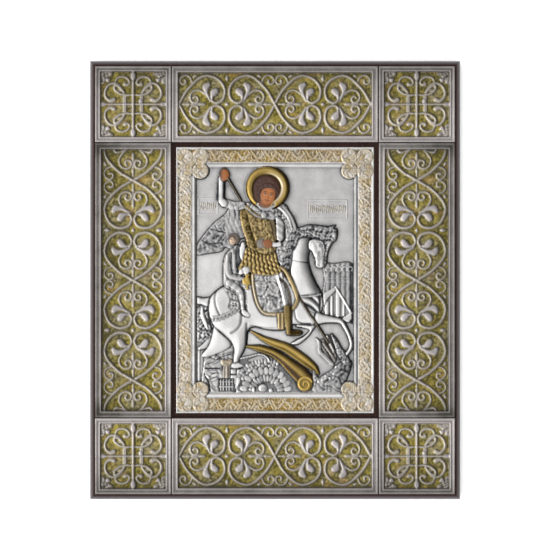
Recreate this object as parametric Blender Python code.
"""Icon panel: a stamped relief plaque inside eight embossed tiles, all set in a dark wooden board.

The board lies on its back with its face up. X runs across the picture, Y towards its top and Z out of its
face, and the origin is the middle of the board's back. Lengths are in metres.

Every metal sheet is one closed solid. Its front is a height over x and y: a stepped border round the edge, and
inside it strokes (a ridge along a path) and discs (a profile turned about a centre), the highest one counting.
The crests and feet of all of them are the break lines of one net of triangles.
"""
import math

import bmesh
import bpy
from mathutils import Vector
from mathutils.geometry import delaunay_2d_cdt

# Board
PLAQUE_W = 0.1502
PLAQUE_H = 0.2020
REVEAL = 0.0034
TILE = 0.0582
LIP = 0.0038
LIP_CHAMFER = 0.0014
BOARD_T = 0.0180
TILE_RECESS = 0.0015
PLAQUE_RECESS = 0.0030
FIT_GAP = 0.0003

# Sheets: thickness under the lowest part of the front, and how far the borders and carving rise from it
TILE_GROUND = 0.0018
TILE_RIM_RISE = 0.0022
RIB_RISE = 0.0016
RIB_HALF = 0.0012
TENDRIL_HALF = 0.0008
PLAQUE_GROUND = 0.0020
PLAQUE_RIM_RISE = 0.0016
RELIEF = 0.0034

# Steps of a border, from the sheet's edge inwards: distance in metres and height as a share of the rim's rise
PANEL_STEPS = ((0.0, 0.55), (0.0013, 1.0), (0.0021, 0.78), (0.0034, 0.78), (0.0042, 1.0), (0.0055, 0.0))
CORNER_STEPS = ((0.0, 0.60), (0.0011, 1.0), (0.0023, 0.62), (0.0034, 0.95), (0.0045, 0.0))
PLAQUE_STEPS = ((0.0, 0.25), (0.0008, 1.0), (0.0020, 0.60), (0.0100, 0.70), (0.0115, 0.15), (0.0126, 0.90),
                (0.0140, 0.10), (0.0152, 0.80), (0.0158, 0.0))

# The scroll pattern is drawn on a cell from a heart's axis to the field's edge, and from the line where two
# hearts stand back to back to the crossing of their ribs
CELL_U = 31.5
CELL_V = 50.0
SIDE_REPEATS = 2.60
END_REPEATS = 2.0

# The picture is drawn on this many units across and up, about a millimetre each
PICTURE_UNITS = (118.6, 170.4)
BROAD = 2.7

# Points nearer than NEAR are one, and a line that another shape covers by more than HIDDEN is left out
NEAR = 0.00003
HIDDEN = 0.00008

# Profiles from crest to foot: share of the half-width, share of the height
RIDGE = ((0.0, 1.0), (1.0, 0.0))
ROUND = ((0.0, 1.0), (0.62, 0.76), (1.0, 0.0))
PLATE = ((0.0, 1.0), (0.80, 0.92), (1.0, 0.0))
CURL = ((0.0, 0.25), (0.68, 1.0), (1.0, 0.0))
DISH = ((0.0, 0.55), (0.62, 0.50), (0.85, 1.0), (1.0, 0.0))

OPENING_W = PLAQUE_W + 2 * REVEAL
OPENING_H = PLAQUE_H + 2 * REVEAL
BOARD_W = OPENING_W + 2 * (TILE + LIP)
BOARD_H = OPENING_H + 2 * (TILE + LIP)
TILE_FLOOR = BOARD_T - TILE_RECESS
PLAQUE_FLOOR = BOARD_T - PLAQUE_RECESS


def along(profile, share):
    """Height share of a profile at this share of the way from its crest to its foot."""
    for (start, high), (end, low) in zip(profile, profile[1:]):
        if share <= end:
            return high + (low - high) * (share - start) / (end - start)
    return 0.0


class Stroke:
    """A ridge along a path of points, with a half-width at each of them. A capped one runs out to a point."""

    def __init__(self, path, widths, height, profile=RIDGE, capped=False):
        self.path = [Vector(point) for point in path]
        last = len(self.path) - 1
        self.widths = [mixed(widths, i / last) for i in range(last + 1)]
        self.height = height
        self.profile = profile
        self.capped = capped
        self.reach = max(self.widths)

    def foot(self, share):
        """Closed line at this share of the half-width."""
        left, right = [], []
        last = len(self.path) - 1
        for i, (point, width) in enumerate(zip(self.path, self.widths)):
            before = (point - self.path[max(i - 1, 0)]).normalized()
            after = (self.path[min(i + 1, last)] - point).normalized()
            run = (before + after).normalized()
            fit = max(run.dot(after if i < last else before), 0.6)
            side = Vector((-run.y, run.x)) * (width * share / fit)
            left.append(point + side)
            right.append(point - side)
        if not self.capped:
            return left + right[::-1]
        start = self.path[0] - (self.path[1] - self.path[0]).normalized() * self.widths[0] * share
        end = self.path[-1] + (self.path[-1] - self.path[-2]).normalized() * self.widths[-1] * share
        return [start] + left + [end] + right[::-1]

    def lines(self):
        """Break lines as (points, closed)."""
        return [(self.path, False)] + [(self.foot(share), True) for share, _ in self.profile[1:]]

    def rise(self, place):
        share = 2.0
        for a, b, wide_a, wide_b in zip(self.path, self.path[1:], self.widths, self.widths[1:]):
            run = b - a
            t = min(max((place - a).dot(run) / run.length_squared, 0.0), 1.0)
            share = min(share, (place - a - run * t).length / (wide_a + (wide_b - wide_a) * t))
        return self.height * along(self.profile, share)

    def near(self, place):
        return any((place - point).length < self.reach + (b - point).length for point, b
                   in zip(self.path, self.path[1:]))


class Disc:
    """A profile turned about a centre, round or stretched to (wide, tall)."""

    def __init__(self, centre, radii, height, profile=RIDGE, sides=8, turn=0.0):
        self.centre = Vector(centre)
        self.radii = radii
        self.height = height
        self.profile = profile
        self.sides = sides
        self.turn = turn

    def lines(self):
        loops = [([self.centre], False)]
        for share, _ in self.profile[1:]:
            loops.append(([self.point(2 * math.pi * k / self.sides, share) for k in range(self.sides)], True))
        return loops

    def point(self, angle, share):
        x = self.radii[0] * share * math.cos(angle)
        y = self.radii[1] * share * math.sin(angle)
        return self.centre + Vector((x * math.cos(self.turn) - y * math.sin(self.turn),
                                     x * math.sin(self.turn) + y * math.cos(self.turn)))

    def rise(self, place):
        off = place - self.centre
        x = off.x * math.cos(self.turn) + off.y * math.sin(self.turn)
        y = off.y * math.cos(self.turn) - off.x * math.sin(self.turn)
        return self.height * along(self.profile, math.hypot(x / self.radii[0], y / self.radii[1]))

    def near(self, place):
        return (place - self.centre).length < 1.1 * max(self.radii)


def mixed(values, share):
    """Value at a share of the way along a short list, straight between its entries."""
    if len(values) == 1:
        return values[0]
    at = share * (len(values) - 1)
    i = min(int(at), len(values) - 2)
    return values[i] + (values[i + 1] - values[i]) * (at - i)


def highest(shapes, place):
    return max((shape.rise(place) for shape in shapes if shape.near(place)), default=0.0)


def seen_lines(shapes):
    """Break lines of the shapes as (points, edges), without the stretches that a higher shape covers."""
    lines = []
    for shape in shapes:
        others = [other for other in shapes if other is not shape]
        for loop, closed in shape.lines():
            seen = [highest(others, point) <= shape.rise(point) + HIDDEN for point in loop]
            count = len(loop)
            pairs = [(i, (i + 1) % count) for i in range(count if closed else count - 1)]
            edges = [(i, j) for i, j in pairs if seen[i] or seen[j]]
            kept = sorted({i for edge in edges for i in edge})
            if count == 1 and seen[0]:
                kept = [0]
            rank = {old: new for new, old in enumerate(kept)}
            lines.append(([loop[i] for i in kept], [(rank[i], rank[j]) for i, j in edges]))
    return lines


def border_lines(half_w, half_h, steps, corner_clear):
    """Break lines of the stepped border. Inner ones stop short of the corners where a boss covers them."""
    lines = [(rectangle(half_w, half_h), [(0, 1), (1, 2), (2, 3), (3, 0)])]
    for inset, _ in steps[1:]:
        x, y = half_w - inset, half_h - inset
        if corner_clear == 0.0:
            lines.append((rectangle(x, y), [(0, 1), (1, 2), (2, 3), (3, 0)]))
            continue
        short_x, short_y = half_w - corner_clear, half_h - corner_clear
        for side in (-1, 1):
            lines.append(([Vector((-short_x, side * y)), Vector((short_x, side * y))], [(0, 1)]))
            lines.append(([Vector((side * x, -short_y)), Vector((side * x, short_y))], [(0, 1)]))
    return lines


def rectangle(half_w, half_h):
    return [Vector((half_w, half_h)), Vector((-half_w, half_h)), Vector((-half_w, -half_h)),
            Vector((half_w, -half_h))]


def sheet(name, size, centre, floor, ground, rim_rise, steps, shapes, material, corner_clear=0.0):
    """One embossed sheet as a closed solid standing on z = floor."""
    half_w, half_h = size[0] / 2, size[1] / 2
    points, edges = [], []
    for line, pairs in border_lines(half_w, half_h, steps, corner_clear) + seen_lines(shapes):
        first = len(points)
        points += line
        edges += [(first + i, first + j) for i, j in pairs]
    plan, _, faces, *_ = delaunay_2d_cdt(points, edges, [], 0, NEAR)
    bm = bmesh.new()
    front = []
    for place in plan:
        inset = min(half_w - abs(place.x), half_h - abs(place.y))
        rise = max(rim_rise * along(steps, inset), highest(shapes, place))
        front.append(bm.verts.new((place.x, place.y, ground + rise)))
    for face in faces:
        bm.faces.new([front[i] for i in face])
    rim = [edge for edge in bm.edges if edge.is_boundary]
    wall = bmesh.ops.extrude_edge_only(bm, edges=rim)["geom"]
    for vert in wall:
        if isinstance(vert, bmesh.types.BMVert):
            vert.co.z = 0.0
    back = [edge for edge in wall if isinstance(edge, bmesh.types.BMEdge) and edge.is_boundary]
    bmesh.ops.contextual_create(bm, geom=back)
    bmesh.ops.recalc_face_normals(bm, faces=bm.faces)
    return finish(bm, name, (centre[0], centre[1], floor), material)


def finish(bm, name, location, material):
    mesh = bpy.data.meshes.new(name)
    bm.to_mesh(mesh)
    bm.free()
    mesh.materials.append(material)
    part = bpy.data.objects.new(name, mesh)
    part.location = location
    bpy.context.scene.collection.objects.link(part)
    return part


def paint(name, colour, roughness, metallic):
    material = bpy.data.materials.new(name)
    material.use_nodes = True
    shader = material.node_tree.nodes["Principled BSDF"]
    shader.inputs["Base Color"].default_value = (*colour, 1.0)
    shader.inputs["Roughness"].default_value = roughness
    shader.inputs["Metallic"].default_value = metallic
    return material


def wooden_board(material):
    """The board as a stack of rectangles: back, sides, chamfered lip, tile recess and plaque recess."""
    half_w, half_h = BOARD_W / 2, BOARD_H / 2
    opening = LIP + TILE
    levels = ((0.0, 0.0), (0.0, BOARD_T - LIP_CHAMFER), (LIP_CHAMFER, BOARD_T), (LIP, BOARD_T),
              (LIP, TILE_FLOOR), (opening, TILE_FLOOR), (opening, PLAQUE_FLOOR))
    bm = bmesh.new()
    rings = []
    for inset, z in levels:
        corners = rectangle(half_w - inset, half_h - inset)
        rings.append([bm.verts.new((corner.x, corner.y, z)) for corner in corners])
    for lower, upper in zip(rings, rings[1:]):
        for i in range(4):
            j = (i + 1) % 4
            bm.faces.new((lower[i], lower[j], upper[j], upper[i]))
    bm.faces.new(rings[0][::-1])
    bm.faces.new(rings[-1])
    bmesh.ops.recalc_face_normals(bm, faces=bm.faces)
    return finish(bm, "wooden_board", (0.0, 0.0, 0.0), material)


# Scroll work of the long panels: (u, v) with v counted from the line where two hearts stand back to back
HEART_RIB = ((0.0, 50.0), (13.5, 41.7), (24.5, 31.6), (29.0, 20.0), (25.0, 8.4), (13.5, 2.6), (4.0, 6.4),
             (3.4, 15.0))
INNER_RIB = ((3.2, 17.0), (11.6, 24.0), (13.8, 33.0), (7.0, 38.4), (2.6, 33.0))
LOWER_LEAF = ((6.6, 15.8), (12.4, 12.4))
UPPER_LEAF = ((10.0, 21.0), (20.0, 19.6))
MIDDLE_LEAF = ((0.0, 21.0), (0.0, 29.0))
SIDE_CURL = (24.0, 44.2)
SIDE_CURL_RADIUS = 0.0035
EDGE_LEAF = (27.0, 0.0)
EDGE_LEAF_RADII = (0.0034, 0.0014)


def heart_half(put, limit):
    """Ribs and leaves on one side of one heart. put() places a cell point, limit is the v where the field ends."""
    strokes = ((HEART_RIB, (RIB_HALF, RIB_HALF, TENDRIL_HALF), 1.0),
               (INNER_RIB, (TENDRIL_HALF,), 0.75),
               (LOWER_LEAF, (1.4 * RIB_HALF, 3.0 * RIB_HALF), 0.9),
               (UPPER_LEAF, (0.8 * RIB_HALF, 2.0 * RIB_HALF), 0.85))
    shapes = []
    for path, widths, share in strokes:
        shown = [put(*point) for point in path if point[1] > limit]
        if len(shown) > 1:
            shapes.append(Stroke(shown, widths, share * RIB_RISE))
    shapes.append(Disc(put(*SIDE_CURL), (SIDE_CURL_RADIUS, SIDE_CURL_RADIUS), 0.6 * RIB_RISE, sides=4))
    return shapes


def heart(put, limit=-1.0):
    shapes = heart_half(put, limit)
    shapes += heart_half(lambda u, v: put(-u, v), limit)
    if MIDDLE_LEAF[0][1] > limit:
        shapes.append(Stroke([put(*point) for point in MIDDLE_LEAF], (RIB_HALF,), 0.6 * RIB_RISE))
    return shapes


def heart_chain(half_across, half_along, repeats, crossing_in_middle, turned):
    """Hearts along a panel's field. With a crossing in the middle the last hearts are cut by the field's ends."""
    half_period = half_along / repeats
    shapes = []

    def putter(mirror, way):
        def put(u, v):
            across = u / CELL_U * half_across
            on = mirror + way * v / CELL_V * half_period
            return (on, across) if turned else (across, on)
        return put

    mirrors = (-half_period, half_period)
    for mirror in mirrors:
        for way in (-1, 1):
            shapes += heart(putter(mirror, way))
        for side in (-1, 1):
            place = putter(mirror, 1)(side * EDGE_LEAF[0], EDGE_LEAF[1])
            radii = EDGE_LEAF_RADII[::-1] if turned else EDGE_LEAF_RADII
            shapes.append(Disc(place, radii, 0.6 * RIB_RISE, sides=4))
    if crossing_in_middle:
        cut = CELL_V * (3.0 - repeats) + 1.5
        for side in (-1, 1):
            shapes += heart(putter(side * 3 * half_period, -side), cut)
    return shapes


def long_panel(name, size, centre, repeats, crossing_in_middle, turned, material):
    """A stepped border round a field of hearts; turned lays the chain along X."""
    field = PANEL_STEPS[-1][0]
    across, run = (size[1], size[0]) if turned else size
    shapes = heart_chain(across / 2 - field, run / 2 - field, repeats, crossing_in_middle, turned)
    return sheet(name, size, centre, TILE_FLOOR + FIT_GAP, TILE_GROUND, TILE_RIM_RISE, PANEL_STEPS, shapes,
                 material)


# Corner tile: one quarter of the cross of scrolls, in thousandths of the tile's cell
QUARTER_LOOP = ((0, 124), (112, 124), (165, 225), (262, 262), (345, 205), (356, 105), (290, 40))
QUARTER_ARC = ((225, 292), (190, 350), (105, 360), (36, 290))
QUARTER_LEAF = ((150, 145), (245, 195))
CORNER_PIECE = ((318, 330), (400, 402))


def corner_tile(name, centre, material):
    half = TILE / 2 - FIT_GAP
    unit = TILE / 1000

    def path(points, flip_x, flip_y):
        return [(x * unit * flip_x, y * unit * flip_y) for x, y in points]

    bar = 0.36 * TILE
    shapes = [Stroke([(0, -bar), (0, bar)], (RIB_HALF,), RIB_RISE, PLATE),
              Stroke([(-bar, 0), (bar, 0)], (0.6 * RIB_HALF,), 0.8 * RIB_RISE)]
    for flip in (-1, 1):
        shapes.append(Stroke([(0, flip * 0.34 * TILE), (0, flip * 0.40 * TILE)], (1.8 * RIB_HALF, RIB_HALF),
                             0.9 * RIB_RISE))
        shapes.append(Stroke([(flip * 0.35 * TILE, 0), (flip * 0.40 * TILE, 0)], (1.4 * RIB_HALF, 0.5 * RIB_HALF),
                             0.9 * RIB_RISE))
    for flip_x in (-1, 1):
        for flip_y in (-1, 1):
            shapes.append(Stroke(path(QUARTER_LOOP, flip_x, flip_y), (RIB_HALF,), RIB_RISE))
            shapes.append(Stroke(path(QUARTER_ARC, flip_x, flip_y), (0.8 * RIB_HALF,), 0.9 * RIB_RISE))
            shapes.append(Stroke(path(QUARTER_LEAF, flip_x, flip_y), (RIB_HALF, 2.4 * RIB_HALF),
                                 0.7 * RIB_RISE))
            shapes.append(Stroke(path(CORNER_PIECE, flip_x, flip_y), (1.6 * RIB_HALF, 2.6 * RIB_HALF),
                                 0.7 * RIB_RISE))
    return sheet(name, (2 * half, 2 * half), centre, TILE_FLOOR + FIT_GAP, TILE_GROUND, TILE_RIM_RISE,
                 CORNER_STEPS, shapes, material)


class Picture:
    """Shapes of the plaque's relief, drawn in picture units about the window's centre."""

    def __init__(self):
        border = PLAQUE_STEPS[-1][0]
        self.scale_x = (PLAQUE_W - 2 * border) / PICTURE_UNITS[0]
        self.scale_y = (PLAQUE_H - 2 * border) / PICTURE_UNITS[1]
        self.shapes = []

    def at(self, point):
        return (point[0] * self.scale_x, point[1] * self.scale_y)

    def stroke(self, path, widths, share, profile=RIDGE):
        """A broad stroke ends in a point, a narrow one bluntly."""
        capped = max(widths) > BROAD
        widths = [width * self.scale_x for width in widths]
        self.shapes.append(Stroke([self.at(point) for point in path], widths, share * RELIEF, profile, capped))

    def disc(self, centre, radii, share, profile=RIDGE, sides=8, turn=0.0):
        radii = (radii[0] * self.scale_x, radii[1] * self.scale_y)
        self.shapes.append(Disc(self.at(centre), radii, share * RELIEF, profile, sides, turn))


def rider(picture):
    """Halo, head, raised arm with spear, armoured body, skirt, cloth over the leg and boot."""
    picture.disc((-5.5, 69.8), (17.6, 17.6), 0.42, DISH, sides=16)
    picture.disc((-7.4, 69.6), (10.6, 10.2), 0.70, ROUND, sides=9)
    picture.disc((-6.4, 64.4), (6.2, 8.0), 0.88, ROUND, sides=8)
    picture.stroke(((-35.0, 76.0), (40.0, -47.0)), (0.9,), 0.45)
    picture.disc((-38.6, 80.0), (3.6, 4.6), 0.62, ROUND, sides=6)
    picture.stroke(((-40.4, 75.0), (-40.8, 59.0)), (2.6, 3.2), 0.60)
    picture.stroke(((-39.6, 57.6), (-29.0, 55.6)), (3.2, 4.2), 0.66)
    picture.stroke(((-30.0, 52.0), (-44.0, 37.0), (-54.0, 24.5)), (7.0, 11.0, 6.0), 0.34, PLATE)
    picture.stroke(((8.0, 52.0), (13.0, 36.0), (11.0, 16.0)), (4.0, 5.0, 3.0), 0.40)
    picture.stroke(((-13.0, 50.0), (-11.5, 26.0)), (13.0, 10.0), 0.78, ROUND)
    picture.stroke(((-26.0, 56.0), (-21.0, 42.0), (-18.0, 28.0)), (2.6, 2.2, 1.6), 0.88)
    picture.stroke(((-2.0, 52.0), (4.0, 43.0), (4.0, 32.0)), (3.0, 3.4, 3.0), 0.86)
    picture.stroke(((3.0, 29.5), (-5.0, 28.5)), (2.6, 2.8), 0.92)
    strips = 8
    for k in range(strips):
        lean = k / (strips - 1)
        top = (-20.0 + 19.5 * lean, 23.0 - 2.0 * lean)
        foot = (-25.0 + 28.0 * lean, 7.5 - 2.0 * lean)
        picture.stroke((top, foot), (1.1, 1.7), 0.86)
    picture.stroke(((-14.0, 2.0), (-6.0, -22.0)), (4.0, 8.0), 0.50, PLATE)
    picture.stroke(((2.0, 4.0), (7.0, -10.0), (9.0, -21.0)), (6.0, 5.0, 3.2), 0.72, ROUND)
    picture.stroke(((3.0, 8.5), (10.5, 5.0), (14.5, -4.0), (17.0, -14.0), (13.5, -21.0)), (1.5,), 0.66)
    picture.stroke(((4.0, -25.0), (4.0, -37.5)), (2.6,), 0.50, PLATE)
    picture.stroke(((10.4, -22.0), (10.4, -39.0)), (2.2,), 0.78)
    picture.stroke(((10.4, -39.6), (20.0, -40.2)), (2.0, 1.2), 0.78)


def passenger(picture):
    """The small figure that sits behind the rider and holds a little vessel."""
    picture.disc((-32.0, 30.6), (3.6, 3.8), 0.66, ROUND, sides=8)
    picture.stroke(((-31.0, 22.0), (-32.0, 4.0)), (4.6, 6.4), 0.46, ROUND)
    picture.stroke(((-35.8, 20.0), (-36.2, 6.0), (-24.0, 2.4)), (2.2, 2.6, 1.6), 0.62)
    picture.disc((-20.6, 0.0), (3.0, 5.0), 0.66, RIDGE, sides=6)
    picture.stroke(((-34.0, -2.0), (-26.0, -10.0), (-24.4, -23.0)), (4.0, 3.4, 2.2), 0.66)


def horse(picture):
    """Body from tail to head, with the four legs, mane and harness."""
    picture.stroke(((-36.0, -17.0), (-10.0, -20.0), (14.0, -16.0), (22.0, -12.0)), (16.0, 17.0, 17.0, 16.0), 0.52,
                   ROUND)
    picture.stroke(((22.0, -8.0), (22.0, 10.0), (24.0, 28.0)), (12.5, 10.0, 7.5), 0.56, ROUND)
    picture.stroke(((30.5, 27.0), (34.0, 13.5)), (5.8, 3.6), 0.76, ROUND)
    picture.stroke(((16.0, 37.0), (28.0, 38.0), (40.0, 37.5), (42.0, 29.0)), (2.6, 4.0, 4.6, 2.2), 0.66)
    picture.stroke(((21.0, 13.0), (36.0, 12.6)), (0.8,), 0.66)
    picture.stroke(((19.0, -12.4), (36.0, -11.4)), (0.9,), 0.66)
    picture.stroke(((-45.0, -6.0), (-46.0, -15.0), (-42.0, -25.5), (-32.0, -25.0)), (1.0,), 0.62)
    picture.stroke(((-51.0, -14.5), (-56.5, -20.0), (-54.5, -34.0), (-52.0, -48.0)), (1.6, 2.6, 4.2, 2.6), 0.46)
    picture.stroke(((-34.0, -30.0), (-27.5, -44.0), (-29.0, -57.0), (-27.5, -62.0)), (11.5, 6.4, 2.4, 3.2), 0.54,
                   ROUND)
    picture.stroke(((-44.0, -34.0), (-42.5, -47.0), (-52.0, -57.0), (-51.0, -66.0)), (6.5, 5.0, 2.2, 2.8), 0.40)
    picture.stroke(((34.0, -29.0), (48.0, -31.5), (55.0, -42.0), (56.5, -54.0), (54.5, -59.0)),
                   (4.0, 2.6, 2.0, 1.8, 2.4), 0.58)
    picture.stroke(((20.0, -31.0), (29.0, -36.0), (20.0, -45.0), (13.0, -48.5)), (4.0, 2.8, 2.0, 2.4), 0.50)


def tower(picture):
    """A walled gate: upright strips under a battlement, with a gable over the door."""
    for k in range(5):
        x = 39.8 + 4.4 * k
        picture.stroke(((x, 8.4), (x, -25.0)), (1.9,), 0.34)
    picture.stroke(((37.5, 11.0), (57.5, 12.0)), (1.8,), 0.44)
    picture.stroke(((36.5, -17.5), (46.0, -6.0), (57.5, -25.0)), (1.2,), 0.52)


def dragon(picture):
    """Ribbed wings, curled tip, open jaws, scaly neck and the coil under the horse."""
    picture.stroke(((-16.0, -40.5), (2.0, -46.0), (16.0, -52.0), (27.0, -59.5), (32.0, -70.0)),
                   (0.9, 1.8, 2.6, 2.8, 1.6), 0.60)
    picture.stroke(((-22.0, -48.5), (-6.0, -51.5), (6.0, -59.0), (16.0, -69.0), (26.0, -77.0)),
                   (1.2, 2.8, 4.6, 4.4, 2.2), 0.52)
    picture.disc((22.0, -78.4), (5.4, 5.4), 0.66, CURL, sides=10)
    picture.stroke(((42.0, -41.0), (45.5, -49.0), (49.0, -58.0)), (1.6, 2.6, 3.4), 0.56)
    picture.stroke(((33.5, -46.0), (36.0, -53.0), (43.0, -60.5)), (1.2, 2.2, 2.8), 0.52)
    picture.stroke(((38.0, -47.0), (43.0, -56.0)), (2.2, 1.6), 0.36)
    for row in range(3):
        for k in range(4):
            picture.disc((38.0 + 5.2 * k, -65.0 - 6.6 * row - 1.6 * (k % 2)), (2.5, 3.2), 0.50, RIDGE, sides=4)


def landscape(picture):
    """Rocks at the lower left, the scaly arch, pebbles and the ground's line."""
    picture.stroke(((-52.0, -61.0), (-42.0, -59.0), (-37.0, -62.0)), (2.4, 2.6, 2.0), 0.40)
    picture.stroke(((-51.0, -68.0), (-36.0, -67.0)), (2.6,), 0.34)
    picture.stroke(((-51.5, -74.0), (-47.0, -82.0)), (3.0, 2.0), 0.40)
    picture.stroke(((-37.6, -63.0), (-37.6, -72.0)), (1.8, 2.4), 0.52)
    for x in (-40.5, -36.0, -31.0):
        picture.stroke(((x, -74.5), (x, -83.5)), (1.8,), 0.36)
    picture.stroke(((-28.0, -62.5), (-18.0, -59.6), (-7.0, -60.4), (-2.0, -67.0)), (1.8,), 0.50)
    count = 7
    for k in range(count):
        angle = math.pi * (0.95 - 0.88 * k / (count - 1))
        picture.disc((-9.0 + 14.0 * math.cos(angle), -77.0 + 12.0 * math.sin(angle)), (2.9, 2.9), 0.42, RIDGE,
                     sides=4)
    for k in range(4):
        picture.disc((-20.0 + 8.4 * k, -79.4), (3.2, 3.2), 0.38, RIDGE, sides=5)
    picture.stroke(((-56.0, -84.2), (56.0, -84.2)), (0.9,), 0.30)


BAND_PITCH = 0.0170
BAND_LEAF = (0.0055, 0.0029)
LOBE_RADIUS = 0.0054
LOBE_SPREAD = 0.0078
LOBE_CENTRE = 0.0126


def plaque_border():
    """Leaf bumps along the border band and a four-lobed filigree boss at each corner."""
    shapes = []
    band = (PLAQUE_STEPS[2][0] + PLAQUE_STEPS[3][0]) / 2
    reach_x, reach_y = PLAQUE_W / 2 - band, PLAQUE_H / 2 - band
    clear = 2 * LOBE_CENTRE
    rise = 1.35 * PLAQUE_RIM_RISE
    for reach, level, turned in ((PLAQUE_W / 2 - clear, reach_y, False), (PLAQUE_H / 2 - clear, reach_x, True)):
        count = max(int(2 * reach / BAND_PITCH), 2)
        for k in range(count):
            on = -reach + 2 * reach * (k + 0.5) / count
            lean = 0.5 if k % 2 else -0.5
            for side in (-1, 1):
                place = (side * level, on) if turned else (on, side * level)
                shapes.append(Disc(place, BAND_LEAF, rise, RIDGE, 4, lean + (math.pi / 2) * turned))
    for side_x in (-1, 1):
        for side_y in (-1, 1):
            centre_x = side_x * (PLAQUE_W / 2 - LOBE_CENTRE)
            centre_y = side_y * (PLAQUE_H / 2 - LOBE_CENTRE)
            for quarter in range(4):
                angle = math.pi / 4 + quarter * math.pi / 2
                place = (centre_x + LOBE_SPREAD * math.cos(angle), centre_y + LOBE_SPREAD * math.sin(angle))
                shapes.append(Disc(place, (LOBE_RADIUS, LOBE_RADIUS), rise, CURL, 7, angle))
    return shapes


def icon_plaque(material):
    picture = Picture()
    for subject in (landscape, tower, horse, passenger, rider, dragon):
        subject(picture)
    return sheet("icon_plaque", (PLAQUE_W, PLAQUE_H), (0.0, 0.0), PLAQUE_FLOOR + FIT_GAP, PLAQUE_GROUND,
                 PLAQUE_RIM_RISE, PLAQUE_STEPS, picture.shapes + plaque_border(), material, 2 * LOBE_CENTRE)


def main():
    for old in list(bpy.data.objects):
        bpy.data.objects.remove(old, do_unlink=True)
    wood = paint("dark stained wood", (0.025, 0.012, 0.008), 0.4, 0.0)
    oxidised = paint("oxidised silver plate", (0.30, 0.29, 0.24), 0.4, 1.0)
    silver = paint("bright silver plate", (0.62, 0.62, 0.58), 0.3, 1.0)
    wooden_board(wood)
    icon_plaque(silver)
    side_x = (OPENING_W + TILE) / 2
    side_y = (OPENING_H + TILE) / 2
    for right, x in (("left", -side_x), ("right", side_x)):
        long_panel("side_panel_" + right, (TILE - 2 * FIT_GAP, OPENING_H - 2 * FIT_GAP), (x, 0.0),
                   SIDE_REPEATS, True, False, oxidised)
        for top, y in (("top", side_y), ("bottom", -side_y)):
            corner_tile("corner_tile_" + top + "_" + right, (x, y), oxidised)
    for top, y in (("top", side_y), ("bottom", -side_y)):
        long_panel(top + "_panel", (OPENING_W - 2 * FIT_GAP, TILE - 2 * FIT_GAP), (0.0, y), END_REPEATS, False,
                   True, oxidised)


main()
